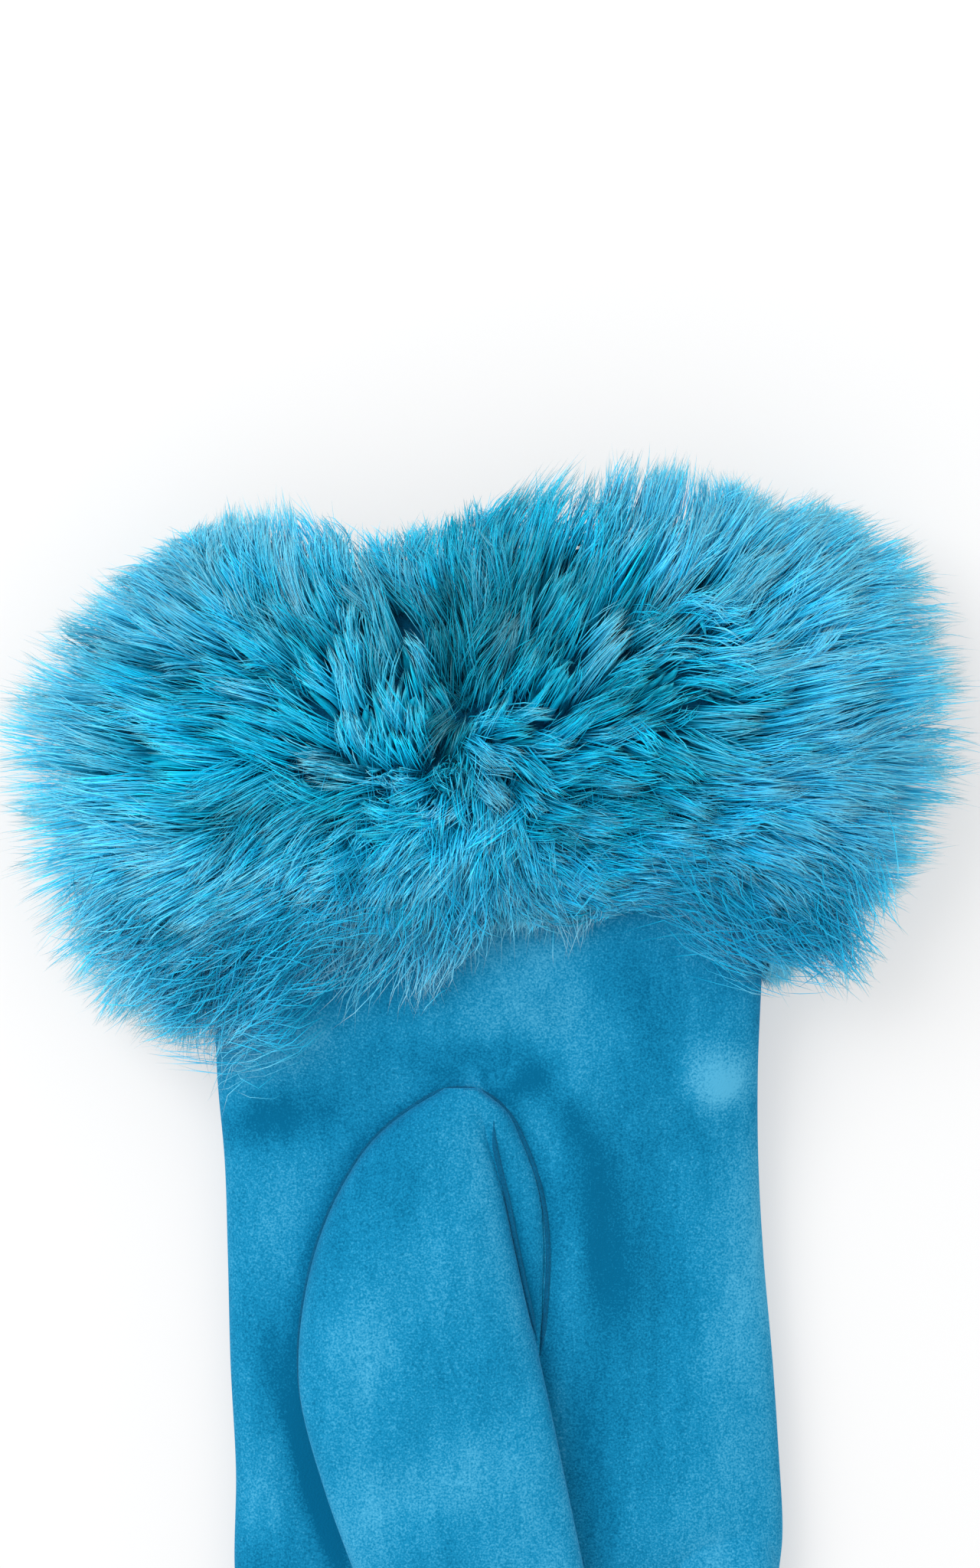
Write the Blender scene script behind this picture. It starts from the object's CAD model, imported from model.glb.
# %% [markdown]
# # A faux suede glove with a deep fur cuff
#
# A glove is a thin shell of cloth, sewn from a palm, a back, a thumb and the strips between the fingers.
# This notebook lofts those pieces finely from the same few tables of shares that the CAD model uses,
# then grows the long pile of the cuff strand by strand, and gives both a cloth that reacts to light.
# Everything is worked out in millimetres and turned into metres only when a mesh is made.

# %%
import math

import bpy
import numpy as np
from mathutils import Matrix, Vector


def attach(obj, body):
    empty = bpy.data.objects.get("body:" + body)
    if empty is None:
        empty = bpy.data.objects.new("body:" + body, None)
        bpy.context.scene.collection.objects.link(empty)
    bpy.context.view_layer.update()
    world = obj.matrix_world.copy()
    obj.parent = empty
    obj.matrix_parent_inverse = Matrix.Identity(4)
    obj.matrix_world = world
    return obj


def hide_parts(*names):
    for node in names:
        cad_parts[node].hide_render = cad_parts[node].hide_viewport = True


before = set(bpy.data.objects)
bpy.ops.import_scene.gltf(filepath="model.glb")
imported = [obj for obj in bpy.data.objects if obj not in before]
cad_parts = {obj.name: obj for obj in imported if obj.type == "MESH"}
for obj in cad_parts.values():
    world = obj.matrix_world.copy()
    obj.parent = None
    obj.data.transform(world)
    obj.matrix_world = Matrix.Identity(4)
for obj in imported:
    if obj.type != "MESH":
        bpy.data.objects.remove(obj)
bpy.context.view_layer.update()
bpy.ops.object.select_all(action="DESELECT")
print("nodes:", sorted(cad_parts))

# %% [markdown]
# ## Sizes
#
# The named sizes come first, in millimetres. Each is written once, so that changing one of them
# carries through the whole glove. +X runs to the little finger, +Y to the cuff's opening and +Z up.
# After the sizes come the squareness of a flattened tube, a distance beyond everything, how many
# points go round each tube, and the places along the hand that follow from the sizes.

# %%
WALL = 1.3
SEAM_GAP = 0.3
PRESS = 1.2
PALM_LENGTH = 118
PALM_WIDTH = 88
PALM_DEPTH = 13
CUFF_LENGTH = 46
CUFF_LIFT = 9
FINGER_LENGTH = 79
FINGER_DEPTH = 12.4
FINGER_GAP = 1.4
FOURCHETTE_WIDTH = 4
ROOT_SLANT = 7
THUMB_SPAN = 116.2
THUMB_WIDTH = 39
THUMB_DEPTH = 9.5
THUMB_ROOT = (-4, 27.7)
SEAM_TURNING = 2.2
GUSSET_RISE = 2.6
PILE_LENGTH = 34
BACKING = 1.4
PILE_SAG = 9
BOXINESS = 2.6
BEYOND = 200
HAND_POINTS = 150
FINGER_POINTS = 56
THUMB_POINTS = 72
MM_PER_M = 1000
ROOT_Y = -PALM_LENGTH / 2
WRIST_Y = PALM_LENGTH / 2
OPENING_Y = WRIST_Y + CUFF_LENGTH
print("overall length of the cloth:", OPENING_Y - ROOT_Y + FINGER_LENGTH, "mm")

# %% [markdown]
# ## Tables of sections
#
# A soft form is easiest to control by a few cross-sections and a smooth curve between them. Each table
# has a row for each section. The numbers are shares of the named sizes, so they keep their meaning when
# a size changes. The reader below puts a cubic curve through every column.

# %%
def table(names, rows):
    return dict(zip(names.split(), np.array(rows, float).T))


def read(rows, by, at):
    """Every column of a table at the given values of one of them, along smooth cubic curves."""
    keys = rows[by]
    at = np.clip(np.asarray(at, float), keys[0], keys[-1])
    i1 = np.clip(np.searchsorted(keys, at, side="right"), 1, len(keys) - 1)
    i0 = i1 - 1
    before = np.where(i0 > 0, i0 - 1, i1)
    after = np.where(i1 < len(keys) - 1, np.minimum(i1 + 1, len(keys) - 1), i0)
    half = (keys[i1] - keys[i0]) / 2
    wb = half / (keys[i0] - keys[before])
    wa = half / (keys[after] - keys[i1])
    p = (at - keys[i0]) / (keys[i1] - keys[i0])
    weights = (
        -wb * p**3 + 2 * wb * p**2 - wb * p,
        (1 + wb) * p**3 + (-1.5 - 2 * wb) * p**2 + (-0.5 + wb) * p + 1,
        (-1 - wa) * p**3 + (1.5 + wa) * p**2 + 0.5 * p,
        wa * p**3 - wa * p**2,
    )
    return {
        name: sum(w * column[i] for w, i in zip(weights, (before, i0, i1, after)))
        for name, column in rows.items()
        if name != by
    }


HAND = table("along left right lift depth", [
    (0.0, 0.97, 1.02, 0, 0.6),
    (0.07, 0.985, 1.035, 0, 0.93),
    (0.2, 0.98, 1.025, 0, 1.0),
    (0.35, 1.0, 1.0, 0, 1.02),
    (0.5, 1.01, 0.965, 0.02, 1.02),
    (0.63, 1.02, 0.945, 0.16, 1.0),
    (0.75, 1.045, 0.94, 0.45, 0.98),
    (0.88, 1.05, 0.95, 0.8, 0.98),
    (1.0, 1.05, 0.96, 0.97, 1.0),
    (1.5, 1.06, 0.98, 1.0, 1.02),
    (2.0, 1.07, 0.99, 1.0, 1.04),
])
FINGERS = table("width length fan", [
    (0.252, 0.92, -2.2),
    (0.26, 1, -0.7),
    (0.252, 0.93, 1.0),
    (0.236, 0.76, 2.4),
])
FINGER_FORM = table("along width depth", [
    (-0.16, 0.9, 0.72),
    (0.0, 1.0, 1.0),
    (0.3, 0.97, 1.02),
    (0.6, 0.95, 1.0),
    (0.8, 0.9, 0.96),
    (0.9, 0.79, 0.88),
    (0.96, 0.59, 0.72),
    (0.99, 0.34, 0.5),
    (1.0, 0.12, 0.25),
])
THUMB = table("along left right seam top under", [
    (0.0, -0.14, 0.03, 0.01, 0.16, -0.5),
    (0.03, -0.28, 0.06, 0.12, 0.34, -0.5),
    (0.07, -0.42, 0.06, 0.185, 0.5, -0.5),
    (0.14, -0.56, 0.11, 0.26, 0.68, -0.5),
    (0.21, -0.65, 0.15, 0.29, 0.82, -0.5),
    (0.29, -0.71, 0.2, 0.285, 0.94, -0.5),
    (0.37, -0.735, 0.255, 0.26, 1.0, -0.3),
    (0.43, -0.725, 0.295, 0.24, 1.02, 0.05),
    (0.55, -0.63, 0.37, 0.24, 1.03, 0.05),
    (0.68, -0.49, 0.45, 0.24, 1.02, 0.05),
    (0.8, -0.36, 0.515, 0.24, 0.97, -0.04),
    (0.89, -0.25, 0.52, 0.24, 0.88, -0.05),
    (0.96, -0.1, 0.46, 0.24, 0.74, 0),
    (0.99, 0.03, 0.35, 0.24, 0.56, 0.1),
    (1.0, 0.13, 0.25, 0.24, 0.42, 0.22),
])
PILE = table("around out up down", [
    (0, 1.06, 0.54, 0.5),
    (35, 0.92, 0.6, 0.2),
    (65, 0.73, 0.78, 0.06),
    (84, 0.67, 0.66, 0.18),
    (102, 0.61, 0.41, 0.28),
    (130, 0.72, 0.53, 0.32),
    (160, 0.96, 0.46, 0.55),
    (180, 1.17, 0.36, 0.84),
    (205, 1.06, 0.3, 0.83),
    (235, 0.8, 0.3, 0.5),
    (270, 0.7, 0.3, 0.3),
    (305, 0.82, 0.35, 0.35),
    (335, 0.98, 0.47, 0.5),
])
ROUND_PILE = {
    name: np.concatenate([column + turn * (name == "around") for turn in (-360, 0, 360)])
    for name, column in PILE.items()
}
print("palm's half widths at mid length:", read(HAND, "along", 0.5))

# %% [markdown]
# ## Folds of the cloth
#
# Soft cloth over an empty glove sinks and swells a little. Each row below is one long Gaussian ridge
# or hollow: where it lies, its heading, its length and width, and how far it raises the surface.
# The first table holds the main folds, the second the fine creases that only this model has.

# %%
FOLDS = table("x y heading length width rise", [
    (0.27, 0.06, 4, 0.22, 0.055, 0.09),
    (0.46, 0.22, -28, 0.24, 0.06, -0.09),
    (0.2, 0.62, 80, 0.16, 0.07, -0.08),
    (-0.86, 0.42, 84, 0.14, 0.06, -0.1),
    (0.78, 0.5, 70, 0.1, 0.07, 0.07),
    (0.58, -0.16, 2, 0.3, 0.035, -0.05),
    (-0.68, -0.62, -22, 0.2, 0.06, -0.12),
    (0.72, -0.55, 10, 0.18, 0.09, 0.05),
])
CREASES = table("x y heading length width rise", [
    (0.34, 0.52, -38, 0.1, 0.012, -0.03),
    (0.45, 0.3, -22, 0.12, 0.012, -0.035),
    (0.56, 0.02, -12, 0.14, 0.012, -0.03),
    (0.5, -0.3, 3, 0.1, 0.01, -0.025),
    (0.6, -0.42, -4, 0.09, 0.01, -0.025),
    (0.72, -0.36, 8, 0.1, 0.011, -0.025),
    (0.66, -0.66, 5, 0.08, 0.01, -0.02),
    (-0.3, 0.72, 70, 0.1, 0.02, -0.03),
    (-0.6, 0.3, 60, 0.1, 0.02, 0.02),
    (-0.84, -0.1, 5, 0.12, 0.02, -0.02),
])


def streaks(x, y, columns):
    """The sum of long soft spots, from their x, y, headings, lengths, widths and weights."""
    total = np.zeros(np.broadcast(x, y).shape)
    for px, py, heading, length, width, weight in zip(*columns):
        turn = math.radians(heading)
        along = ((x - px) * math.sin(turn) + (y - py) * math.cos(turn)) / length
        across = ((x - px) * math.cos(turn) - (y - py) * math.sin(turn)) / width
        total += weight * np.exp(-(along**2) - across**2)
    return total


def fold(x, y, rows):
    """How far the folds of a table raise the palm at each point, in millimetres."""
    places = rows["x"] * PALM_WIDTH / 2, rows["y"] * PALM_LENGTH / 2
    sizes = rows["length"] * PALM_WIDTH, rows["width"] * PALM_WIDTH
    return streaks(x, y, (*places, rows["heading"], *sizes, rows["rise"] * PALM_DEPTH))


def ripple(x, y):
    """A faint unevenness of soft cloth, made of a few crossing waves."""
    waves = ((0.31, 0.13, 0.0), (-0.17, 0.29, 1.3), (0.07, 0.41, 2.1), (0.53, -0.19, 0.7), (0.23, 0.61, 4.0))
    return sum(np.sin(a * x + b * y + c) for a, b, c in waves) * 0.035


folds = fold(np.linspace(-44, 44, 80), np.linspace(-50, 50, 80)[:, None], FOLDS)
print("deepest fold:", round(float(folds.min()), 2), "mm")

# %% [markdown]
# ## Sections and surfaces
#
# A flattened tube has a section between an ellipse and a rectangle, which a superellipse gives with one
# exponent. The points are spread evenly round it, so that the mesh is as fine at the flat top as at the
# tight edges. Where the tube would sink below the table, it is pressed flat instead.

# %%
def power(value, exponent):
    return np.sign(value) * np.abs(value) ** exponent


def boxy(wave):
    """A sine or cosine as a share, from 0 to 1, of the width or height of a superellipse."""
    return (power(wave, 2 / BOXINESS) + 1) / 2


def even_turns(count, across, rise):
    """Angles that spread points evenly round a superellipse of that half width and half height."""
    turn = np.linspace(0, 2 * math.pi, 6001)
    x = across * power(np.cos(turn), 2 / BOXINESS)
    z = rise * power(np.sin(turn), 2 / BOXINESS)
    run = np.concatenate([[0], np.cumsum(np.hypot(np.diff(x), np.diff(z)))])
    return np.interp(np.arange(count) / count * run[-1], run, turn)


def lens(turns, left, right, low, high, floor=-BEYOND):
    """x, z and how far up, round sections whose limits are arrays with a row for each section."""
    left, right, low, high = (np.asarray(v, float)[..., None] for v in (left, right, low, high))
    across = power(np.cos(turns), 2 / BOXINESS)
    rise = power(np.sin(turns), 2 / BOXINESS)
    x = left + (right - left) * (across + 1) / 2
    z = low + (high - low) * (rise + 1) / 2
    return x, np.maximum(floor, z), np.maximum(0, rise) + 0 * x


def hand_section(y, inset):
    """Left, right, lowest and highest limit of the hand at each y, shrunk by an inset."""
    y = np.asarray(y, float)
    share = np.where(y < WRIST_Y, (y - ROOT_Y) / PALM_LENGTH, 1 + (y - WRIST_Y) / CUFF_LENGTH)
    row = read(HAND, "along", share)
    seam = (PALM_DEPTH - PRESS) / 2 + row["lift"] * CUFF_LIFT
    half = row["depth"] * (PALM_DEPTH + PRESS) / 2 - inset
    left = -row["left"] * PALM_WIDTH / 2 + inset
    right = row["right"] * PALM_WIDTH / 2 - inset
    return left, right, seam - half, seam + half


def seam_height(y):
    _, _, low, high = hand_section(y, 0)
    return (low + high) / 2


def palm_top(x, y):
    """The height of the palm's outer surface, without its folds."""
    left, right, low, high = hand_section(np.maximum(y, ROOT_Y + 0.07 * PALM_LENGTH), 0)
    across = np.clip(np.abs((2 * x - left - right) / (right - left)), 0, 0.999)
    return low + (high - low) * (0.5 + 0.5 * (1 - across**BOXINESS) ** (1 / BOXINESS))


def root_slant(x):
    t = np.clip((np.asarray(x, float) / PALM_WIDTH - 0.12) / 0.3, 0, 1)
    return ROOT_SLANT * t * t * (3 - 2 * t)


print("height of the palm at its middle:", round(float(palm_top(0, 0)), 1), "mm")

# %% [markdown]
# ## From rings to meshes
#
# A loft joins ring to ring with quads and closes both ends. Blender's operators then merge what
# coincides and turn every face outwards, which the Boolean modifier needs. The Manifold solver is fast
# and keeps closed meshes closed.

# %%
def tube(name, rings):
    """A closed mesh object through rings, an array of sections x points x 3, in millimetres."""
    sections, count, _ = rings.shape
    ends = rings[[0, -1]].mean(1)
    points = np.concatenate([rings.reshape(-1, 3), ends]) / MM_PER_M
    i = (np.arange(sections - 1) * count)[:, None]
    j = np.arange(count)
    k = (j + 1) % count
    sides = np.stack([i + j, i + k, i + k + count, i + j + count], -1).reshape(-1, 4)
    first = np.stack([k, j, np.full(count, len(points) - 2)], -1)
    end = (sections - 1) * count
    last = np.stack([j + end, k + end, np.full(count, len(points) - 1)], -1)
    return new_object(name, points, sides.tolist() + first.tolist() + last.tolist())


def new_object(name, points, faces):
    """A mesh object from points in metres, with all its faces turned outwards."""
    mesh = bpy.data.meshes.new(name)
    mesh.from_pydata(np.asarray(points).tolist(), [], faces)
    made = bpy.data.objects.new(name, mesh)
    bpy.context.collection.objects.link(made)
    only(made)
    bpy.ops.object.mode_set(mode="EDIT")
    bpy.ops.mesh.select_all(action="SELECT")
    bpy.ops.mesh.normals_make_consistent(inside=False)
    bpy.ops.object.mode_set(mode="OBJECT")
    return made


def only(obj):
    bpy.ops.object.select_all(action="DESELECT")
    obj.select_set(True)
    bpy.context.view_layer.objects.active = obj


def cut(target, operation, cutter):
    """Applies a Boolean with the cutter, then deletes the cutter."""
    only(target)
    modifier = target.modifiers.new("cut", "BOOLEAN")
    modifier.operation = operation
    modifier.solver = "MANIFOLD"
    modifier.object = cutter
    bpy.ops.object.modifier_apply(modifier=modifier.name)
    bpy.data.objects.remove(cutter)
    return target


def copy(obj, name):
    only(obj)
    bpy.ops.object.duplicate()
    made = bpy.context.object
    made.name = name
    return made


# %% [markdown]
# ## The hand
#
# The palm, wrist and cuff are one tube. Four fingers start inside it and fan out a little, and the
# Boolean unites them. The same form, shrunk by the cloth's thickness, is then taken away, which leaves
# a hollow shell that is open at the cuff.

# %%
def hand_tube(name, inset, end, step):
    start = ROOT_Y + inset
    stations = np.linspace(start, OPENING_Y + min(inset, 0), int((OPENING_Y - start) / step))
    stations = np.append(stations, end)
    x, z, upper = lens(even_turns(HAND_POINTS, 46, 7), *hand_section(stations, inset), floor=inset)
    y = stations[:, None] + 0 * x
    z = z + upper * (fold(x, y, FOLDS) + fold(x, y, CREASES) + ripple(x, y))
    fade = np.clip((ROOT_Y + ROOT_SLANT * 4 - y) / (ROOT_SLANT * 4), 0, 1)
    return tube(name, np.stack([x, y + root_slant(x) * fade, z], -1))


def fingers():
    """For each finger x and y of its root, its width and length in millimetres, and its heading."""
    left, right, _, _ = hand_section(ROOT_Y, 0)
    room = right - left - FINGER_GAP * 3
    edge = left
    made = []
    for width, length, fan in zip(*FINGERS.values()):
        x = edge + width * room / 2
        edge += width * room + FINGER_GAP
        made.append((x, ROOT_Y + root_slant(x), width * room, length * FINGER_LENGTH, math.radians(fan)))
    return made


def on_finger(finger, along, across):
    """x and y of a place that is so far along a finger and to its side."""
    x, y, _, _, fan = finger
    sin, cos = math.sin(fan), math.cos(fan)
    return x + along * sin + across * cos, y - along * cos + across * sin


def finger_tube(name, finger, inset):
    _, _, width, length, _ = finger
    bend = np.sin(np.linspace(0, math.pi / 2, 70))
    first = FINGER_FORM["along"][0]
    share = first + (1 - first) * bend
    form = read(FINGER_FORM, "along", share)
    half = np.maximum(form["width"] * width / 2 - inset, 0.3)
    depth = np.maximum(form["depth"] * FINGER_DEPTH, 2 * inset + 0.6) / 2 - inset
    middle = float(seam_height(ROOT_Y))
    turns = even_turns(FINGER_POINTS, 10, 6)
    x, z, upper = lens(turns, -half, half, middle - depth, middle + depth, floor=inset)
    px, py = on_finger(finger, (share * (length - inset))[:, None], x)
    return tube(name, np.stack([px, py, z + upper * 3 * ripple(px, py)], -1))


FINGER_LIST = fingers()


def hand_solid(name, inset, end, step=1.6):
    made = hand_tube(name, inset, end, step)
    for number, finger in enumerate(FINGER_LIST):
        cut(made, "UNION", finger_tube("finger_%d" % number, finger, inset))
    return made


outside = hand_solid("outside", 0, OPENING_Y)
raised = copy(outside, "raised")
raised.data.transform(Matrix.Translation((0, 0, SEAM_GAP / MM_PER_M)))
shell = cut(outside, "DIFFERENCE", hand_solid("inside", WALL, OPENING_Y + WALL + 1, 3.2))
print("shell:", len(shell.data.polygons), "faces")

# %% [markdown]
# ## Panels and the strips between the fingers
#
# The shell is parted at half height into a palm and a back. Between each two fingers a narrow strip is
# cut out of both, as a glover does, and the oval hole for the thumb is cut out of the palm.

# %%
def side_of_seam(name, above):
    """A block that holds everything above, or below, the seam between palm and back."""
    y = np.concatenate([[-BEYOND], np.linspace(ROOT_Y, OPENING_Y, 80), [OPENING_Y + BEYOND]])
    seam = seam_height(np.clip(y, ROOT_Y, OPENING_Y)) + (1 if above else -1) * SEAM_GAP / 2
    low, high = (seam, 0 * y + BEYOND) if above else (0 * y - BEYOND, seam)
    corners = [(BEYOND, low), (BEYOND, high), (-BEYOND, high), (-BEYOND, low)]
    return tube(name, np.stack([np.stack([0 * y + x, y, z], -1) for x, z in corners], 1))


def strip_space(name, one, other, gap):
    middle = float(seam_height(ROOT_Y))
    tips = [on_finger(finger, 0.93 * finger[3] + gap, 0) for finger in (one, other)]
    root = max(one[1], other[1]) + 0.35 * FINGER_GAP + WALL + 2 + gap
    half = FOURCHETTE_WIDTH / 2 + gap
    corners = [
        (one[0] - gap, root),
        (tips[0][0] - gap, tips[0][1]),
        (tips[1][0] + gap, tips[1][1]),
        (other[0] + gap, root),
    ]
    return tube(name, np.array([[(x, y, z) for x, y in corners] for z in (middle - half, middle + half)]))


PAIRS = list(zip(("index_middle", "middle_ring", "ring_little"), FINGER_LIST, FINGER_LIST[1:]))
strips = []
for words, one, other in PAIRS:
    strip = copy(shell, "strip_" + words)
    strips.append(cut(strip, "INTERSECT", strip_space("space", one, other, 0)))
for words, one, other in PAIRS:
    cut(shell, "DIFFERENCE", strip_space("slot", one, other, SEAM_GAP))
palm = copy(shell, "palm_cloth")
cut(palm, "INTERSECT", side_of_seam("above", True))
back = cut(shell, "INTERSECT", side_of_seam("below", False))
back.name = "back_cloth"
print("palm:", len(palm.data.polygons), "faces, back:", len(back.data.polygons), "faces")

# %% [markdown]
# ## The thumb
#
# The thumb's sections are counted from the palm's own surface, so it lies on the palm whatever the
# palm's form. A low second form stands for the gusset that is tucked under its fold. Whatever would
# sink into the palm is cut away with a copy of the hand that is raised by the gap of a seam.

# %%
def thumb_rings(shares, inset, right_edge="right", left_edge=None, top=None, low=None):
    """Rings at shares of the thumb's length, with other edges or heights where they are given."""
    row = read(THUMB, "along", shares)
    y = THUMB_ROOT[1] - shares * THUMB_SPAN
    left = THUMB_ROOT[0] + row["left"] * THUMB_WIDTH + inset
    right = THUMB_ROOT[0] + row[right_edge] * THUMB_WIDTH - inset
    if left_edge == "middle":
        left = (left + right) / 2
    bottom = row["under"] * THUMB_DEPTH + inset if low is None else 0 * y + low
    high = row["top"] * THUMB_DEPTH - inset if top is None else 0 * y + top
    keep = (right - left > 1) & (high - bottom > 0.5)
    x, z, upper = lens(even_turns(THUMB_POINTS, 19, 5), left[keep], right[keep], bottom[keep], high[keep])
    y = y[keep][:, None] + 0 * x
    return np.stack([x, y, palm_top(x, y) + z + upper * 2 * ripple(x + 9, y)], -1)


even = np.linspace(0, 1, 130)
shares = np.sort(np.concatenate([even, 0.5 - 0.5 * np.cos(even * math.pi)]))[::2]
thumb = tube("thumb_cloth", thumb_rings(shares, 0))
gusset_shares = np.linspace(0.002, 0.37, 60)
gusset = tube("gusset", thumb_rings(gusset_shares, 0, "seam", "middle", GUSSET_RISE))
cut(thumb, "UNION", gusset)
cut(thumb, "DIFFERENCE", tube("thumb_hollow", thumb_rings(shares[::2], WALL)))
cut(thumb, "DIFFERENCE", raised)
hole_shares = np.linspace(0.055, 0.36, 40)
hole = thumb_rings(hole_shares, WALL + SEAM_TURNING, top=THUMB_DEPTH / 2, low=-THUMB_DEPTH / 2)
cut(palm, "DIFFERENCE", tube("thumb_hole", hole))
print("thumb:", len(thumb.data.polygons), "faces")

# %% [markdown]
# ## Sewn lines
#
# A seam reads as a thin dark line, because light is lost between the two edges of cloth. A fine closed
# cord follows the set-in seam round the thumb, and another lies in the fold above the gusset.

# %%
def edge_of_thumb(shares, column, aside=0.0):
    x = THUMB_ROOT[0] + read(THUMB, "along", shares)[column] * THUMB_WIDTH + aside
    return np.stack([x, THUMB_ROOT[1] - shares * THUMB_SPAN], -1)


def unit(vectors, least=0):
    """Vectors of length 1 along others, whose lengths are raised a little where they may be 0."""
    return vectors / (np.linalg.norm(vectors, axis=-1, keepdims=True) + least)


def run_along(points):
    """How far along a line each of its points is."""
    return np.concatenate([[0], np.cumsum(np.linalg.norm(np.diff(points, axis=0), axis=1))])


def seam_line(name, way, lift, radius):
    """A closed cord over the palm along the (x, y) points of a way, thinner towards both ends."""
    run = run_along(way)
    even_run = np.linspace(0, run[-1], int(run[-1] / 0.8))
    x, y = (np.interp(even_run, run, column) for column in way.T)
    for _ in range(12):
        x[1:-1], y[1:-1] = ((v[:-2] + 2 * v[1:-1] + v[2:]) / 4 for v in (x, y))
    middle = np.stack([x, y, palm_top(x, y) + fold(x, y, FOLDS) + lift], -1)
    heading = np.gradient(middle[:, :2], axis=0)
    heading = unit(heading)
    aside = np.stack([-heading[:, 1], heading[:, 0], 0 * x], -1)
    fine = radius * np.clip(np.minimum(even_run, run[-1] - even_run) / 4, 0.15, 1)[:, None, None]
    turn = np.linspace(0, 2 * math.pi, 8, endpoint=False)[None, :, None]
    outwards = aside[:, None] * np.cos(turn) + np.array([0, 0, 1]) * np.sin(turn)
    return tube(name, middle[:, None] + fine * outwards)


left_way = edge_of_thumb(np.linspace(0.52, 0.0, 50), "left", -0.05)
right_way = edge_of_thumb(np.linspace(0.0, 0.372, 50), "seam", 0.1)
fold_way = edge_of_thumb(np.linspace(0.045, 0.35, 50), "right", 0.3)
seams = [
    seam_line("thumb_seam", np.concatenate([left_way, right_way]), 0.15, 0.36),
    seam_line("fold_line", fold_way, GUSSET_RISE - 0.1, 0.42),
]
print("seams:", len(seams))

# %% [markdown]
# ## Where the pile can reach
#
# The tips of the fur lie on an envelope round the cuff. Its reach out, up and down is tabled round the
# cuff, in shares of the pile's length. A strand runs from the backing, share 0, to that envelope,
# share 1, and its tip sags under its own weight.

# %%
def pile_point(around, sweep, share):
    """Places in the pile, from degrees round the cuff, degrees up or down and a share of its reach."""
    row = read(ROUND_PILE, "around", np.mod(around, 360))
    turn = np.radians(around)
    lean = np.radians(np.clip(sweep, -90, 90))
    past = np.where(lean > 0, row["up"], row["down"])
    y = (WRIST_Y + OPENING_Y) / 2 + np.sin(lean) * (CUFF_LENGTH / 2 + past * PILE_LENGTH * share)
    rounding = np.where(lean > 0, 1.15 - 0.45 * np.cos(turn), 1.25 + 0.25 * np.cos(turn))
    out = row["out"] * PILE_LENGTH * share * np.cos(lean) ** rounding
    left, right, low, high = hand_section(np.clip(y, WRIST_Y, OPENING_Y), -SEAM_GAP - BACKING)
    x = left + (right - left) * boxy(np.cos(turn)) + np.cos(turn) * out
    z = low + (high - low) * boxy(np.sin(turn)) + np.sin(turn) * out
    return np.stack([x, y, z - PILE_SAG * share**2 * out / PILE_LENGTH], -1)


def even_arounds(count, share):
    """Angles round the cuff that spread points evenly over the pile at that share of its reach."""
    turn = np.linspace(0, 360, 3001)
    ring = pile_point(turn, 0 * turn, share)
    run = run_along(ring)
    return np.interp((np.arange(count) + 0.5) / count * run[-1], run, turn)


around = even_arounds(120, 0.4)[:, None]
sweeps = np.linspace(-88, 88, 25)
skin = pile_point(around + 0 * sweeps, sweeps + 0 * around, 0.36)
bore_y = np.array([OPENING_Y - 0.5, (WRIST_Y + OPENING_Y) / 2, WRIST_Y + 0.5])
left, right, low, high = hand_section(bore_y, -SEAM_GAP)
turn = np.radians(around)
bore = np.stack([
    left + (right - left) * boxy(np.cos(turn)),
    bore_y + 0 * turn,
    low + (high - low) * boxy(np.sin(turn)),
], -1)
rings = np.concatenate([skin, bore], 1)
rings[..., 2] = np.maximum(rings[..., 2], 0.4)
count = rings.shape[1]
i = (np.arange(len(rings)) * count)[:, None]
i2 = (np.roll(np.arange(len(rings)), -1) * count)[:, None]
j = np.arange(count)
j2 = (j + 1) % count
faces = np.stack([i + j, i + j2, i2 + j2, i2 + j], -1).reshape(-1, 4).tolist()
backing = new_object("fur_backing", rings.reshape(-1, 3) / MM_PER_M, faces)
print("backing:", len(backing.data.polygons), "faces")

# %% [markdown]
# ## How the fur lies
#
# Long pile lies down away from a whorl, like the hair on a head. Here the whorl is drawn out into a
# short slanting line over the palm: tips to its left lean away from its lower end, and tips to its
# right from its upper end. A table of pulls turns the pile another way in a few places, and a swirl
# spreads it from one more. The other tables say where it is parted, so that it is lower and looks
# dark, where its tips are paler, and where it is brighter. Places and sizes are in millimetres.

# %%
WHORL = table("x y", [(-13, 71), (-4, 86)])
LEAN = 8
SWIRL = (28, 109)
SWIRL_REACH = 9
PULLS = table("x y wide high across down", [
    (-8, 62, 12, 7, 0.1, -1.2),
    (12, 99, 13, 13, 0.25, 0.7),
    (26, 92, 9, 7, 0.5, 0.4),
    (-52, 56, 16, 9, -0.5, -0.7),
    (36, 101, 6, 6, 0.1, -1.2),
])
DIMPLES = table("x y wide high depth", [
    (-7, 91, 2.8, 7, 0.75),
    (-10, 106, 3, 9, 0.15),
    (28, 109, 5, 4, 0.4),
    (26, 88, 5, 4, 0.14),
    (18, 94, 4, 3, 0.14),
    (-35, 74, 7, 3, 0.14),
    (24, 74, 8, 3, 0.16),
    (40, 73, 6, 4, 0.18),
    (-48, 66, 8, 4, 0.22),
    (12, 66, 5, 3, 0.15),
    (-28, 70, 8, 3, 0.12),
])
PALE = table("x y wide high more", [
    (58, 92, 22, 28, 0.55),
    (45, 117, 25, 9, 0.25),
    (38, 104, 7, 7, 0.35),
    (-60, 80, 20, 15, -0.35),
    (22, 84, 14, 16, -0.35),
    (5, 108, 14, 14, -0.45),
    (-48, 114, 28, 9, 0.3),
    (-22, 94, 8, 12, 0.2),
    (-20, 57, 42, 8, 0.55),
    (38, 58, 25, 7, 0.4),
    (-66, 58, 16, 10, 0.45),
    (58, 60, 24, 16, 0.8),
])
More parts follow.
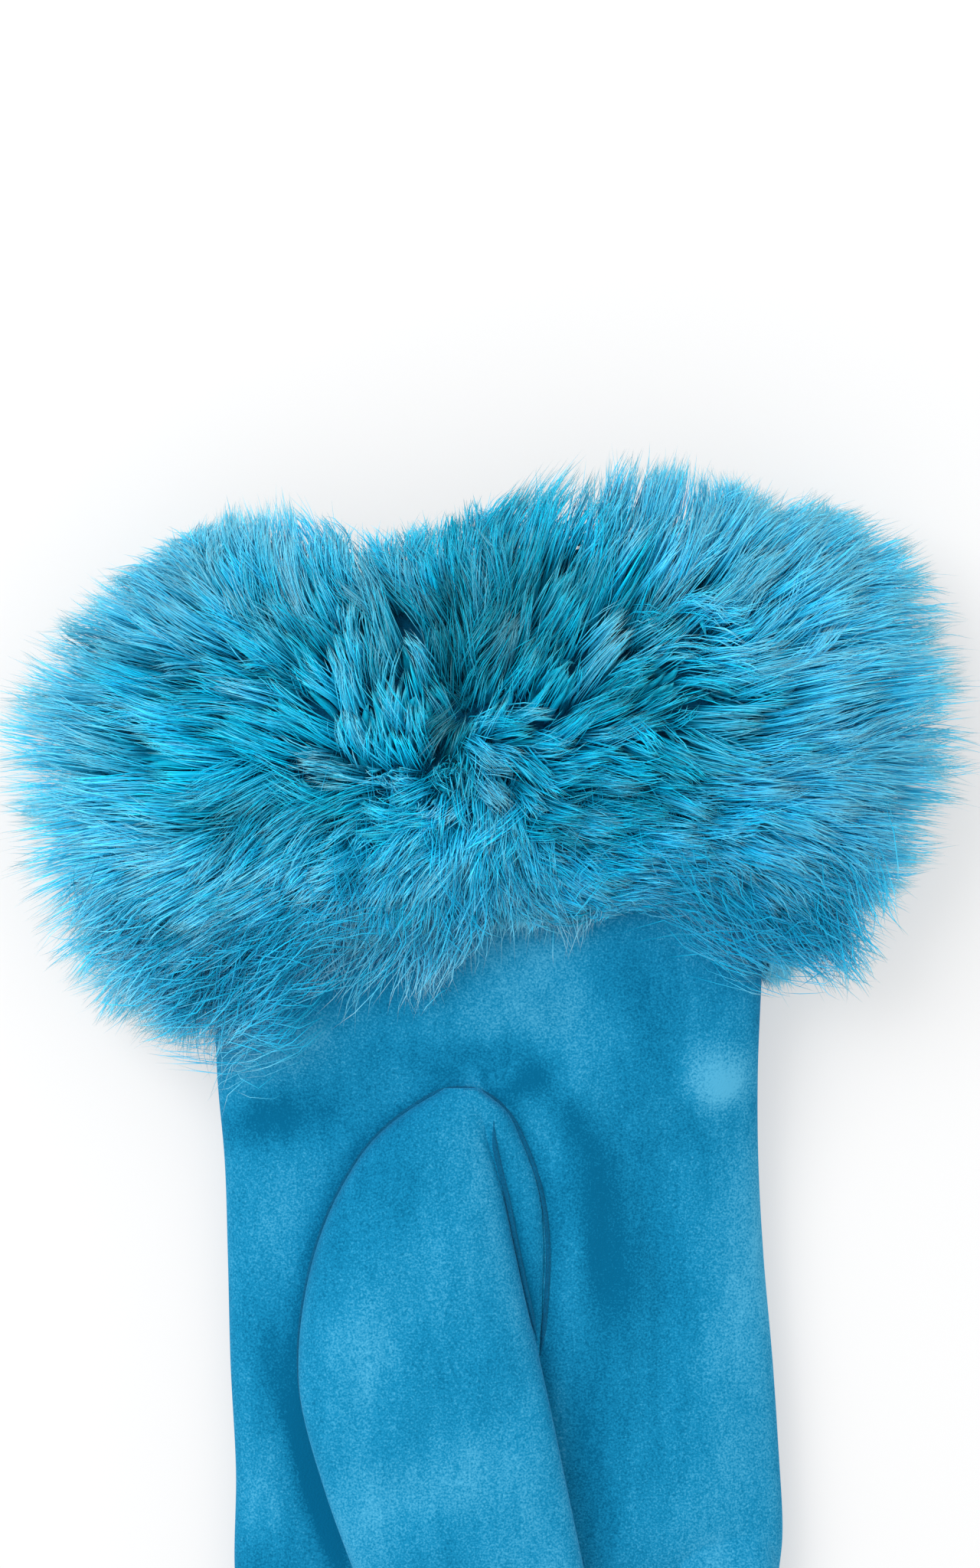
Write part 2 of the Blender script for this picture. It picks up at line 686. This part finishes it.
LIT = table("x y wide high more", [
    (58, 95, 24, 26, 0.22),
    (-20, 58, 42, 9, 0.2),
    (48, 58, 26, 14, 0.5),
    (8, 92, 30, 8, -0.06),
    (4, 108, 16, 12, -0.5),
    (-30, 108, 16, 9, -0.2),
    (-62, 74, 24, 14, 0.08),
    (-66, 56, 17, 13, 0.12),
])
CLUMPING = 0.52
ROOT_SHARE = 0.33
PILE_MIDDLE = 84
PILE_HALF = (80, 50)
STEEPEST = 88.5


def spot(x, y, sx, sy, wide, high):
    return np.exp(-(((x - sx) / wide) ** 2) - ((y - sy) / high) ** 2)


def spots(x, y, rows):
    """The sum of the soft oval spots in a table."""
    return sum(weight * spot(x, y, *place) for *place, weight in zip(*rows.values()))


print("lowest part of the parting:", round(1 - float(spots(-8, 90, DIMPLES)), 2), "of the pile's height")

# %% [markdown]
# ## Guide curves
#
# Each strand has a guide curve from its root in the backing to its tip. The root lies back, so that
# the strand leans over the way that the fur lies there, and the curve is drawn towards the nearest
# clump. Every random number comes from one seeded source, so each run gives the same fur.

# %%
def off_middle(x, y):
    """How far a place is from the middle of the pile, about 1 at its outline."""
    return np.hypot(x / PILE_HALF[0], (y - PILE_MIDDLE) / PILE_HALF[1])


def lean_away(x, y, clump_turn, rng):
    """How far a tip at (x, y) leans in X and Y, away from the whorl, with slow random swirls."""
    here = np.stack([x, y], -1)
    away = here - np.stack([0 * x + WHORL["x"].mean(), np.interp(x, WHORL["x"], WHORL["y"])], -1)
    far = np.linalg.norm(away, axis=1, keepdims=True) + 0.5
    aside = here - SWIRL
    gap = np.linalg.norm(aside, axis=1, keepdims=True)
    heading = away / far + 1.1 * np.exp(-((gap / SWIRL_REACH) ** 2)) * aside / (gap + 1)
    for px, py, wide, high, across, down in zip(*PULLS.values()):
        near = spot(x, y, px, py, wide, high)[:, None]
        heading = heading * (1 - 0.6 * near) + near * (across, down)
    turn = 0.3 * np.sin(0.11 * x + 0.07 * y + 1) + 0.22 * np.sin(-0.09 * x + 0.19 * y + 4)
    turn = turn + clump_turn * (1 + 3 * np.exp(-far[:, 0] / 5)) + rng.normal(0, 0.1, len(x))
    size = LEAN * np.clip(far[:, 0] / 14, 0.15, 1) * rng.uniform(0.75, 1.2, len(x))
    cos, sin = np.cos(turn), np.sin(turn)
    hx, hy = heading.T
    return np.stack([hx * cos - hy * sin, hx * sin + hy * cos], -1) * size[:, None]


def make_clumps(count, rng):
    """Places of clumps, with how much each one turns, how far it reaches and how pale and bright it is."""
    around, sweep, _ = scatter(count, rng, (1, 1))
    return {
        "around": around,
        "sweep": sweep,
        "place": pile_point(around, sweep, 0 * around + 0.85),
        "turn": rng.normal(0, 0.2, count),
        "reach": rng.uniform(0.9, 1.0, count),
        "pale": rng.normal(0, 0.27, count),
        "bright": rng.normal(0, 0.1, count),
        "sway": rng.normal(0, 0.7, (count, 1, 3)),
    }


def nearest(places, clumps):
    """The clump that each place belongs to."""
    found = np.empty(len(places), int)
    for part in np.array_split(np.arange(len(places)), 8):
        gaps = places[part][:, None] - clumps["place"][None]
        found[part] = np.argmin((gaps**2).sum(-1), axis=1)
    return found


def guides(around, sweep, far, stations, clumps, rng):
    """Curves from the backing to tips at (around, sweep), lying over the way the fur leans."""
    tip = pile_point(around, sweep, far)
    clump = nearest(tip, clumps)
    # What a degree round the cuff, and a degree up, moves a place in X and Y
    by_a = (pile_point(around + 1, sweep, 0.6) - pile_point(around - 1, sweep, 0.6))[:, :2] / 2
    by_s = (pile_point(around, sweep + 1, 0.6) - pile_point(around, sweep - 1, 0.6))[:, :2] / 2
    slopes = np.stack([by_a, by_s], -1)
    # The degrees by which the root has to lie back, so that the strand leans that far
    soft = slopes @ np.swapaxes(slopes, 1, 2) + 0.03 * np.eye(2)
    lean = lean_away(tip[:, 0], tip[:, 1], clumps["turn"][clump], rng)
    back = np.einsum("nji,nj->ni", slopes, np.linalg.solve(soft, lean[..., None])[..., 0])
    back[:, 0] = np.clip(back[:, 0], -40, 40)
    root_s = np.clip(sweep - back[:, 1], -84, 84)
    # The strand is drawn towards its clump, less so near the outline of the pile
    to_a = (clumps["around"][clump] - around + 180) % 360 - 180
    to_s = clumps["sweep"][clump] - sweep
    t = np.broadcast_to(stations, (len(around), np.shape(stations)[-1]))
    middle = np.clip(1.75 - 1.9 * off_middle(tip[:, 0], tip[:, 1]), 0.06, 1)
    drawn = CLUMPING * middle[:, None] * t**2
    a = (around - back[:, 0])[:, None] + back[:, :1] * t**1.3 + to_a[:, None] * drawn
    s = root_s[:, None] + (sweep - root_s)[:, None] * t**1.3 + to_s[:, None] * drawn
    rise = 1 - (1 - t) ** 1.3
    lowered = far * clumps["reach"][clump] * (1 - spots(tip[:, 0], tip[:, 1], DIMPLES) * (tip[:, 2] > 12))
    sway = clumps["sway"][clump] + rng.normal(0, 0.35, (len(around), 1, 3))
    curve = pile_point(a, s, ROOT_SHARE + (lowered[:, None] - ROOT_SHARE) * rise)
    return curve + sway * np.sin(4 * t)[..., None], clump


def scatter(count, rng, reach):
    """Places round the cuff for tips, fewer below, where the glove hides them."""
    ring = even_arounds(6000, 0.8)
    ring = ring[rng.random(len(ring)) < np.where((ring > 215) & (ring < 325), 0.4, 1)]
    across = rng.uniform(-1, 1, count)
    sweep = STEEPEST * (0.65 * across + 0.35 * np.sin(across * math.pi / 2))
    return rng.choice(ring, count), sweep, rng.uniform(*reach, count)


CLUMPS = 1250
SEED = 11
rng = np.random.default_rng(SEED)
clumps = make_clumps(CLUMPS, rng)
print("clumps:", CLUMPS)

# %% [markdown]
# ## Locks
#
# Soft fur shows smooth locks with fine hairs over them, so there are two layers. Both are closed
# spikes, pointed at both ends, and are drawn towards the same clumps. The locks come first: they are
# shorter and thicker, flattened, and fill the pile from below.

# %%
def spike_faces(stations, sides):
    """The triangles of one spike that is pointed at both ends, and how many vertices it has."""
    each = (stations - 2) * sides + 2
    k = np.arange(sides) + 1
    n = np.roll(k, -1)
    faces = [np.stack([0 * k, n, k], -1)]
    for ring in range(stations - 3):
        a, b = ring * sides + k, ring * sides + n
        faces += [np.stack([a, b, b + sides], -1), np.stack([a, b + sides, a + sides], -1)]
    last = (stations - 3) * sides
    faces.append(np.stack([last + k, last + n, 0 * k + each - 1], -1))
    return np.concatenate(faces), each


def fast_mesh(name, points, faces):
    """A mesh of triangles from arrays, which takes far less time than from lists."""
    mesh = bpy.data.meshes.new(name)
    mesh.vertices.add(len(points))
    mesh.vertices.foreach_set("co", points.ravel())
    mesh.loops.add(faces.size)
    mesh.loops.foreach_set("vertex_index", faces.ravel().astype(np.int32))
    mesh.polygons.add(len(faces))
    mesh.polygons.foreach_set("loop_start", np.arange(0, faces.size, 3, dtype=np.int32))
    mesh.update(calc_edges=True)
    return mesh


def tapered(name, points, wide, thick, sides, tints, grain_of):
    """One mesh of closed spikes. points: spikes x stations x 3, pointed at the first and last station."""
    spikes, stations, _ = points.shape
    heading = np.gradient(points, axis=1)
    heading = unit(heading, 1e-9)
    # The broad side of a spike faces away from the middle of the cuff, which is wide and low
    outwards = points - np.array([0, (WRIST_Y + OPENING_Y) / 2, 14])
    outwards[..., 0] *= 0.4
    first = unit(np.cross(heading, outwards), 1e-9)
    second = np.cross(first, heading)
    turn = 2 * math.pi * np.arange(sides) / sides
    aside = first[:, 1:-1, None] * np.cos(turn)[:, None] * wide[:, :, None, None]
    aside = aside + second[:, 1:-1, None] * np.sin(turn)[:, None] * thick[:, :, None, None]
    rings = points[:, 1:-1, None] + aside
    verts = np.concatenate([points[:, :1], rings.reshape(spikes, -1, 3), points[:, -1:]], 1)
    verts[..., 2] = np.maximum(verts[..., 2], 0.2)
    faces, each = spike_faces(stations, sides)
    faces = (faces[None] + (np.arange(spikes) * each)[:, None, None]).reshape(-1, 3)
    mesh = fast_mesh(name, verts.reshape(-1, 3) / MM_PER_M, faces)
    # For the materials: a share along the spike with its two tints, and a place in the noise
    share = np.concatenate([[0], np.repeat(np.linspace(0, 1, stations)[1:-1], sides), [1]])
    tint = np.ones((spikes, each, 4))
    tint[..., 0] = share
    tint[..., 1:3] = tints[:, None, :]
    mesh.attributes.new("hair", "FLOAT_COLOR", "POINT").data.foreach_set("color", tint.ravel())
    sin, cos = (np.pad(np.tile(wave, stations - 2), 1) for wave in (np.sin(turn), np.cos(turn)))
    grain = np.zeros((spikes, each, 3))
    grain[..., 0] = sin * grain_of + np.arange(spikes)[:, None] * 0.037
    grain[..., 1] = share * 0.0012
    grain[..., 2] = cos * grain_of
    mesh.attributes.new("grain", "FLOAT_VECTOR", "POINT").data.foreach_set("vector", grain.ravel())
    made = bpy.data.objects.new(name, mesh)
    bpy.context.collection.objects.link(made)
    return made


def tints_for(tips, clump, rng, chance, base=0.24):
    """How pale and how bright each spike is, from where its tip lies, its clump and chance."""
    x, y = tips[:, 0], tips[:, 1]
    pale = base + spots(x, y, PALE) + clumps["pale"][clump] + rng.normal(0, chance, len(tips))
    edge = np.clip((off_middle(x, y) - 0.64) * 2.6, 0, 0.9)
    bright = 0.68 + clumps["bright"][clump] + rng.normal(0, 0.09, len(tips)) + 0.04 * (pale + edge)
    bright += spots(x, y, LIT) - 1.8 * spots(x, y, DIMPLES)
    return np.clip(np.stack([pale + edge - 1.5 * spots(x, y, DIMPLES), bright], -1), 0, 1)


LOCKS = 5400
lock_guides, clump = guides(*scatter(LOCKS, rng, (0.4, 0.66)), np.linspace(0, 1, 6), clumps, rng)
wide = np.array([0.8, 1.0, 0.95, 0.65]) * rng.uniform(0.5, 0.95, LOCKS)[:, None]
thick = wide * rng.uniform(0.4, 0.6, LOCKS)[:, None]
lock_tints = tints_for(lock_guides[:, -1], clump, rng, 0.1, -0.3) * (1, 0.7)
pile = [tapered("fur_locks", lock_guides, wide, thick, 3, lock_tints, 0.0016)]
print("locks:", LOCKS)

# %% [markdown]
# ## Hairs and wisps
#
# The hairs of a tuft share a guide curve. They are spread out at the root and closer at the tip. A
# few thousand reach past the rest and make the outline fuzzy, and wisps lie over the palm. Real pile
# has many more and finer hairs, too fine to show, so these are drawn fewer and thicker.

# %%
def hairs(tufts, each, reach, spread, gather, radius, stray, length=(0.72, 1.0)):
    """Hairs x stations x 3 in millimetres, with each one's radius and tints."""
    fine, clump = guides(*scatter(tufts, rng, reach), np.linspace(0, 1, 9), clumps, rng)
    count = tufts * each
    which = np.repeat(np.arange(tufts), each)
    ends = rng.uniform(*length, count)[:, None]
    t = np.array([0.12, 0.45, 0.76, 1.0]) * ends
    low = np.minimum((t * 8).astype(int), 7)
    part = (t * 8 - low)[..., None]
    rows = which[:, None]
    curve = fine[rows, low] * (1 - part) + fine[rows, low + 1] * part
    ahead = unit(curve[:, -1] - curve[:, 0])
    side = unit(np.cross(ahead, rng.normal(size=(count, 3))))
    off = spread * np.sqrt(rng.random(count))[:, None, None] * side[:, None, :]
    curve = curve + off * (1 - gather * t**1.3)[..., None]
    curve = curve + rng.normal(0, stray, (count, 1, 3)) * (t**2.2)[..., None]
    curve[..., 2] = np.maximum(curve[..., 2], 0.3 + 0.6 * rng.random((count, 1)))
    tuft_tints = tints_for(fine[:, -1], clump, rng, 0.12)[which]
    tuft_tints = np.clip(tuft_tints + rng.normal(0, (0.22, 0.05), (count, 2)), 0, 1)
    return curve, radius * rng.uniform(0.7, 1.3, count), tuft_tints


# How low the longest wisps reach over the palm, from the thumb's side to the little finger's
LOWER_EDGE = table("x low", [
    (-70, 50), (-66, 44), (-61, 39), (-52, 34), (-46, 31), (-42, 36), (-36, 45),
    (-28, 43), (-18, 41), (-9, 45), (0, 48), (10, 50), (15, 55), (21, 59),
    (28, 57), (34, 52), (42, 47), (50, 44), (58, 43), (64, 50),
])
HAIRS_IN_PIECE = 16000


def fringe(count, span, reach, lift, radius, pale, each=20):
    """Wisps that leave the pile's lower edge and lie down over the palm and past its corners."""
    wisps = count // each
    which = rng.integers(0, wisps, count)
    x = rng.uniform(*span, wisps)[which] + rng.normal(0, 1.7, count)
    low = read(LOWER_EDGE, "x", x)["low"]
    share = rng.uniform(*reach, wisps)[which] + rng.normal(0, 0.09, count)
    y = WRIST_Y + 4 - (WRIST_Y + 4 - low) * share
    turn = np.clip(1.1 * (x + 4), -58, 44) + rng.normal(0, 17, wisps)[which] + rng.normal(0, 8, count)
    sin, cos = np.sin(np.radians(turn))[:, None], np.cos(np.radians(turn))[:, None]
    length = rng.uniform(8, 19, count)
    bow = (rng.normal(0, 1.4, wisps)[which] + rng.normal(0, 0.5, count))[:, None]
    t = np.array([0.0, 0.4, 0.75, 1.0])
    back = (1 - t) * length[:, None]
    aside = bow * np.sin(math.pi * t) + (1 - t) * rng.normal(0, 1.5, count)[:, None]
    px = x[:, None] - back * sin + aside * cos
    py = y[:, None] + back * cos + aside * sin
    high = rng.uniform(*lift, count)[:, None]
    pz = palm_top(px, py) + high * (1 - t**1.6) + rng.uniform(0.6, 3, count)[:, None]
    curve = np.stack([px, py, pz], -1) + rng.normal(0, 0.6, (count, 1, 3)) * (t**2)[:, None]
    curve[..., 2] = np.maximum(curve[..., 2], palm_top(curve[..., 0], curve[..., 1]) + 0.5)
    bright = rng.uniform(0.7, 1.0, wisps)[which] + rng.normal(0, 0.07, count)
    bleach = rng.uniform(*pale, wisps)[which] + rng.normal(0, 0.2, count)
    return curve, radius * rng.uniform(0.7, 1.3, count), np.clip(np.stack([bleach, bright], -1), 0, 3)


coats = [
    hairs(800, 10, (0.55, 0.8), spread=2.2, gather=0.3, radius=0.12, stray=0.5),
    hairs(4600, 8, (0.84, 0.97), spread=1.7, gather=0.4, radius=0.085, stray=0.7, length=(0.84, 1.0)),
    hairs(3300, 2, (0.93, 0.99), spread=2.0, gather=0.1, radius=0.06, stray=0.9, length=(0.9, 1.0)),
    fringe(2800, (-66, 62), reach=(-0.2, 0.8), lift=(4, 14), radius=0.095, pale=(0.4, 1.6)),
    fringe(1600, (-70, -36), reach=(0.3, 0.98), lift=(2, 10), radius=0.09, pale=(0.6, 2.0)),
    fringe(1000, (38, 63), reach=(0.2, 1.02), lift=(2, 9), radius=0.09, pale=(0.6, 1.8)),
    fringe(1600, (-60, 60), reach=(0.55, 1.12), lift=(1, 7), radius=0.06, pale=(0.8, 2.4)),
]
curves, radius, shades = (np.concatenate(parts) for parts in zip(*coats))
order = np.argsort(curves[:, -1, 0])
taper = radius[:, None] * np.array([1.0, 0.85])
for number, part in enumerate(np.array_split(order, math.ceil(len(curves) / HAIRS_IN_PIECE))):
    name = "fur_hairs_%d" % (number + 1)
    pile.append(tapered(name, curves[part], taper[part], taper[part], 3, shades[part], 0.0))
print("hairs:", len(curves), "in", len(pile) - 1, "pieces")

# %% [markdown]
# ## Materials
#
# Every material is a small graph of nodes that ends in one shader. The helpers below add the nodes.
# Sizes of patterns are given in millimetres and turned into the scale that the noise node expects.

# %%
def srgb(text):
    """A colour written as six hexadecimal digits, as the linear numbers that shaders use."""
    values = [int(text[i : i + 2], 16) / 255 for i in (0, 2, 4)]
    return tuple(v / 12.92 if v <= 0.04045 else ((v + 0.055) / 1.055) ** 2.4 for v in values) + (1.0,)


def add_node(material, kind, inputs=None, **settings):
    """Adds a node with its settings, and sets or links its inputs."""
    made = material.node_tree.nodes.new(kind)
    for name, value in settings.items():
        setattr(made, name, value)
    for name, value in (inputs or {}).items():
        if isinstance(value, bpy.types.NodeSocket):
            material.node_tree.links.new(value, made.inputs[name])
        else:
            made.inputs[name].default_value = value
    return made


def noise(material, size, **inputs):
    """A noise pattern whose features are about that many millimetres across."""
    return add_node(material, "ShaderNodeTexNoise", {"Scale": MM_PER_M / size, **inputs}).outputs["Fac"]


def stretch(material, vector, **inputs):
    return add_node(material, "ShaderNodeMapping", {"Vector": vector, **inputs}).outputs["Vector"]


def maths(material, operation, *values):
    """The result of one sum, product or power of numbers or sockets."""
    inputs = dict(enumerate(values))
    return add_node(material, "ShaderNodeMath", inputs, operation=operation).outputs[0]


def map_range(material, value, **limits):
    """A value moved from one range to another, which are 0 to 1 where no limits are given."""
    inputs = {"Value": value, **{name.replace("_", " "): limit for name, limit in limits.items()}}
    return add_node(material, "ShaderNodeMapRange", inputs).outputs[0]


def new_material(name):
    made = bpy.data.materials.new(name)
    made.use_nodes = True
    made.node_tree.nodes.clear()
    return made


def ramp(material, fac, stops):
    """Colours at positions between 0 and 1, and smooth steps between them."""
    made = add_node(material, "ShaderNodeValToRGB", {"Fac": fac})
    elements = made.color_ramp.elements
    while len(elements) < len(stops):
        elements.new(0.5)
    for element, (position, colour) in zip(elements, stops):
        element.position = position
        element.color = srgb(colour)
    return made.outputs["Color"]


def shaded(material, colour, **inputs):
    """Ends a material with one shader of that colour and its other inputs."""
    named = {name.replace("_", " "): value for name, value in inputs.items()}
    shader = add_node(material, "ShaderNodeBsdfPrincipled", {"Base Color": colour, **named})
    add_node(material, "ShaderNodeOutputMaterial", {"Surface": shader.outputs[0]})
    return material


print("linear blue of the cloth:", [round(v, 3) for v in srgb("127faa")[:3]])

# %% [markdown]
# ## Suede and fur
#
# Suede looks soft because its nap scatters light: it has no shine, it brightens towards grazing
# angles, and it shows paler and darker patches where it was brushed. A rough surface and a sheen layer
# give the first two, and layers of noise the last. Fur gets its colours along each hair, from the
# share that is stored with its vertices: deep at the root, paler towards a bleached tip.

# %%
def suede(name, dark, middle, light):
    """Cloth with a nap: broad patches, streaks and a fine grain, added to the nap that was painted."""
    made = new_material(name)
    place = add_node(made, "ShaderNodeTexCoord").outputs["Object"]
    brushed = stretch(made, place, Scale=(1.0, 0.55, 1.0))
    stroked = stretch(made, place, Scale=(1.0, 0.3, 1.0), Rotation=(0, 0, 0.2))
    patches = noise(made, 26, Vector=brushed, Detail=1.0, Roughness=0.4)
    blotches = noise(made, 3.4, Vector=stroked, Detail=4.0, Roughness=0.65)
    grain = noise(made, 0.33, Vector=place, Detail=2.0, Roughness=0.6)
    nap = add_node(made, "ShaderNodeAttribute", attribute_name="nap").outputs["Fac"]
    total = maths(made, "ADD", patches, nap)
    total = maths(made, "MULTIPLY_ADD", blotches, 0.55, total)
    total = maths(made, "MULTIPLY_ADD", grain, 1.5, total)
    tone = map_range(made, total, From_Min=1.03, From_Max=2.03)
    colour = ramp(made, tone, [(0.0, dark), (0.5, middle), (1.0, light)])
    bump = add_node(made, "ShaderNodeBump", {"Height": grain, "Distance": 0.0002, "Strength": 0.5})
    return shaded(
        made, colour, Roughness=0.95, Specular_IOR_Level=0.06, Normal=bump.outputs["Normal"],
        Sheen_Weight=0.3, Sheen_Roughness=0.4, Sheen_Tint=srgb("74c8f0"),
    )


def fur(name, root, low, middle, tip, pale):
    """Hair with colours from its root to its tip, its own tone and how far its end is bleached."""
    made = new_material(name)
    hair = add_node(made, "ShaderNodeAttribute", attribute_name="hair")
    grain = add_node(made, "ShaderNodeAttribute", attribute_name="grain")
    strands = noise(made, 0.5, Vector=grain.outputs["Vector"], Detail=2.0)
    parts = add_node(made, "ShaderNodeSeparateColor", {"Color": hair.outputs["Color"]})
    along = ramp(made, parts.outputs["Red"], [(0.2, root), (0.5, low), (0.78, middle), (1.0, tip)])
    tone = map_range(made, parts.outputs["Blue"], To_Min=0.35, To_Max=1.5)
    streak = map_range(made, strands, From_Min=0.3, From_Max=0.7, To_Min=0.75, To_Max=1.2)
    value = maths(made, "MULTIPLY", tone, streak)
    dyed = add_node(made, "ShaderNodeHueSaturation", {"Color": along, "Value": value}).outputs[0]
    outer = maths(made, "POWER", parts.outputs["Red"], 2.8)
    bleached = maths(made, "MULTIPLY", parts.outputs["Green"], outer)
    mix = add_node(made, "ShaderNodeMix", {0: bleached, 6: dyed, 7: srgb(pale)}, data_type="RGBA")
    return shaded(made, mix.outputs[2], Roughness=0.6, Specular_IOR_Level=0.06)


# Faux suede is a cloth of very fine fibres that is sanded, which raises a short matt nap with streaks
# where it lies over. Its grain of 0.33 mm is drawn coarser than the real fibres, too fine to show.
suede_blue = suede("faux_suede", "005d84", "127faa", "4ca4c8")
# The same cloth where a seam pulls it in. Little light gets between the two edges, so it is darker.
seam_blue = suede("faux_suede_edge", "034460", "08567a", "0c658e")
# Faux fur is dyed acrylic pile. Its loose outer ends let light through and scatter it, so they look
# bleached, and the thick pile shades its own roots.
fur_blue = fur("faux_fur", "008ab0", "06b4dc", "14ccee", "4cd4ec", "aee0f0")
# The pile is knitted into a dark backing, which shows only where the fur parts. A soft unevenness
# of the dye stands for its hidden stitches.
ground_blue = new_material("fur_ground")
dye = ramp(ground_blue, noise(ground_blue, 2.0), [(0.3, "06384f"), (0.7, "0a5f85")])
shaded(ground_blue, dye, Roughness=1.0, Specular_IOR_Level=0.0)
print("materials:", len(bpy.data.materials))

# %% [markdown]
# ## Brushed patches
#
# Where a hand has stroked the nap one way it looks paler, the other way darker. The rows are soft
# patches on the palm and thumb, with their places and sizes in millimetres.

# %%
NAP = table("x y heading length width tone", [
    (-37, 22.5, 78, 9, 4.2, -0.62),
    (-29, 44, 70, 6, 3, -0.15),
    (-33, 35, 75, 10, 4.5, 0.2),
    (-35, 6, 5, 14, 5, 0.2),
    (-4, 33, 88, 12, 3, -0.35),
    (3, 28, 60, 6, 2.2, -0.5),
    (9, 25, -34, 10, 3.2, -0.4),
    (22, 46, -30, 10, 7, -0.3),
    (15, 3, -8, 18, 4.6, -0.5),
    (14, -32, -6, 20, 4.5, -0.45),
    (24, -16, 0, 36, 8, -0.32),
    (38, -36, 0, 16, 5, -0.2),
    (27, 30, -25, 14, 3, -0.2),
    (34.5, 29.5, 60, 6.5, 4.6, 0.5),
    (36, 27.5, 40, 3.2, 2.4, 0.42),
    (32, 33, 30, 8, 6, 0.15),
    (-29.5, -39, -18, 15, 1.9, -1.0),
    (-37, -17, 5, 8, 4, -0.2),
    (-38, -37, 5, 8, 4, 0.25),
    (-38, -53, 5, 6, 6, -0.35),
    (12, -3, -4, 12, 2, 0.2),
])
THUMB_NAP = table("x y heading length width tone", [
    (-22, -17, -12, 9, 5, 0.25),
    (-8, -34, 60, 13, 8, 0.32),
    (-15, 12, -30, 14, 6, -0.08),
    (1, -5, -12, 26, 1.6, 0.12),
    (-21, -22, -20, 8, 5, -0.1),
])
print("patches:", len(NAP["x"]) + len(THUMB_NAP["x"]))

# %% [markdown]
# ## Finishing the pieces
#
# The cloth is also darker beside the seam of the thumb and in the fold above its gusset, where little
# light gets in. Each vertex stores this and its patches in an attribute that the suede material
# reads. Every piece is then tied to the CAD node that it stands for.

# %%
SHADE_REACH = 2.2


def thumb_shade(x, y, z):
    """How much darker the thumb is close to the palm, most of all in the fold above its gusset."""
    share = (THUMB_ROOT[1] - y) / THUMB_SPAN
    beside = x - THUMB_ROOT[0] - read(THUMB, "along", share)["right"] * THUMB_WIDTH
    in_fold = np.exp(-((beside / SHADE_REACH) ** 2)) * np.exp(-(((share - 0.2) / 0.13) ** 4))
    low = np.clip(1.6 - (z - palm_top(x, y)) / 2.4, 0, 1)
    return (0.1 + 0.7 * in_fold * (beside > -1)) * low


def palm_shade(x, y, z):
    """How much darker the palm is beside the seam of the thumb."""
    share = (THUMB_ROOT[1] - y) / THUMB_SPAN
    edges = read(THUMB, "along", share)
    left_gap = THUMB_ROOT[0] + edges["left"] * THUMB_WIDTH - x
    right_gap = x - THUMB_ROOT[0] - edges["seam"] * THUMB_WIDTH
    beside = np.where(right_gap > 0, right_gap, left_gap)
    near = (np.abs(share - 0.3) < 0.33) * (z > seam_height(y))
    return 0.34 * np.exp(-((beside / SHADE_REACH) ** 2)) * near


def finish_cloth(obj, node, rows=NAP, material=suede_blue):
    """Shades a piece of cloth smoothly, gives it its nap and says which CAD node it stands for."""
    only(obj)
    bpy.ops.object.shade_smooth_by_angle(angle=math.radians(40))
    mesh = obj.data
    co = np.empty(len(mesh.vertices) * 3)
    mesh.vertices.foreach_get("co", co)
    x, y, z = co.reshape(-1, 3).T * MM_PER_M
    nap = streaks(x, y, rows.values()) * (z > seam_height(y))
    if rows is THUMB_NAP:
        nap -= thumb_shade(x, y, z)
    if node == "palm_panel":
        nap -= palm_shade(x, y, z)
    attribute = mesh.attributes.new("nap", "FLOAT", "POINT")
    attribute.data.foreach_set("value", nap)
    mesh.materials.clear()
    mesh.materials.append(material)
    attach(obj, "root")
    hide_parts(node)


finish_cloth(palm, "palm_panel")
finish_cloth(back, "back_panel")
finish_cloth(thumb, "thumb", THUMB_NAP)
for seam in seams:
    finish_cloth(seam, "thumb", material=seam_blue)
for (words, _, _), strip in zip(PAIRS, strips):
    finish_cloth(strip, "fourchette_" + words)
for piece in [backing] + pile:
    piece.data.materials.clear()
    piece.data.materials.append(ground_blue if piece is backing else fur_blue)
    only(piece)
    bpy.ops.object.shade_smooth()
    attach(piece, "root")
    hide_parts("fur_cuff")

# %% [markdown]
# ## Table, light and camera
#
# The glove lies on a plain pale surface and is seen from straight above. A large soft light stands to
# the upper left, and a bright even surrounding fills the shadows. The surface glows a little, so that
# it stays as white as paper beside the lit glove. From here on, places and sizes are in metres.

# %%
bpy.ops.mesh.primitive_plane_add(size=8, location=(0, 0, -0.0002))
floor = bpy.context.object
floor.name = "floor"
paper = new_material("paper")
shaded(
    paper, srgb("a8a8a8"), Roughness=0.9, Specular_IOR_Level=0.1,
    Emission_Color=srgb("ffffff"), Emission_Strength=0.46,
)
floor.data.materials.append(paper)

world = bpy.data.worlds.new("studio")
world.use_nodes = True
world.node_tree.nodes["Background"].inputs["Color"].default_value = srgb("ffffff")
world.node_tree.nodes["Background"].inputs["Strength"].default_value = 1.0
bpy.context.scene.world = world

LIGHT_PLACE = Vector((-0.75, 0.65, 1.1))
LIGHT_TARGET = Vector((0, 0.05, 0))
bpy.ops.object.light_add(type="AREA", location=LIGHT_PLACE)
light = bpy.context.object
light.name = "key"
light.data.size = 1.0
light.data.energy = 14
light.rotation_euler = (LIGHT_TARGET - LIGHT_PLACE).to_track_quat("-Z", "Y").to_euler()

VIEW_CENTRE = (-0.0019, 0.0764)
VIEW_HEIGHT = 0.256
DISTANCE = 0.9
bpy.ops.object.camera_add(location=(*VIEW_CENTRE, DISTANCE), rotation=(0, 0, 0))
camera = bpy.context.object
camera.data.sensor_width = 36
camera.data.lens = camera.data.sensor_width * DISTANCE / VIEW_HEIGHT
bpy.context.scene.camera = camera
bpy.context.scene.view_settings.view_transform = "Standard"
print("lens:", round(camera.data.lens, 1), "mm")
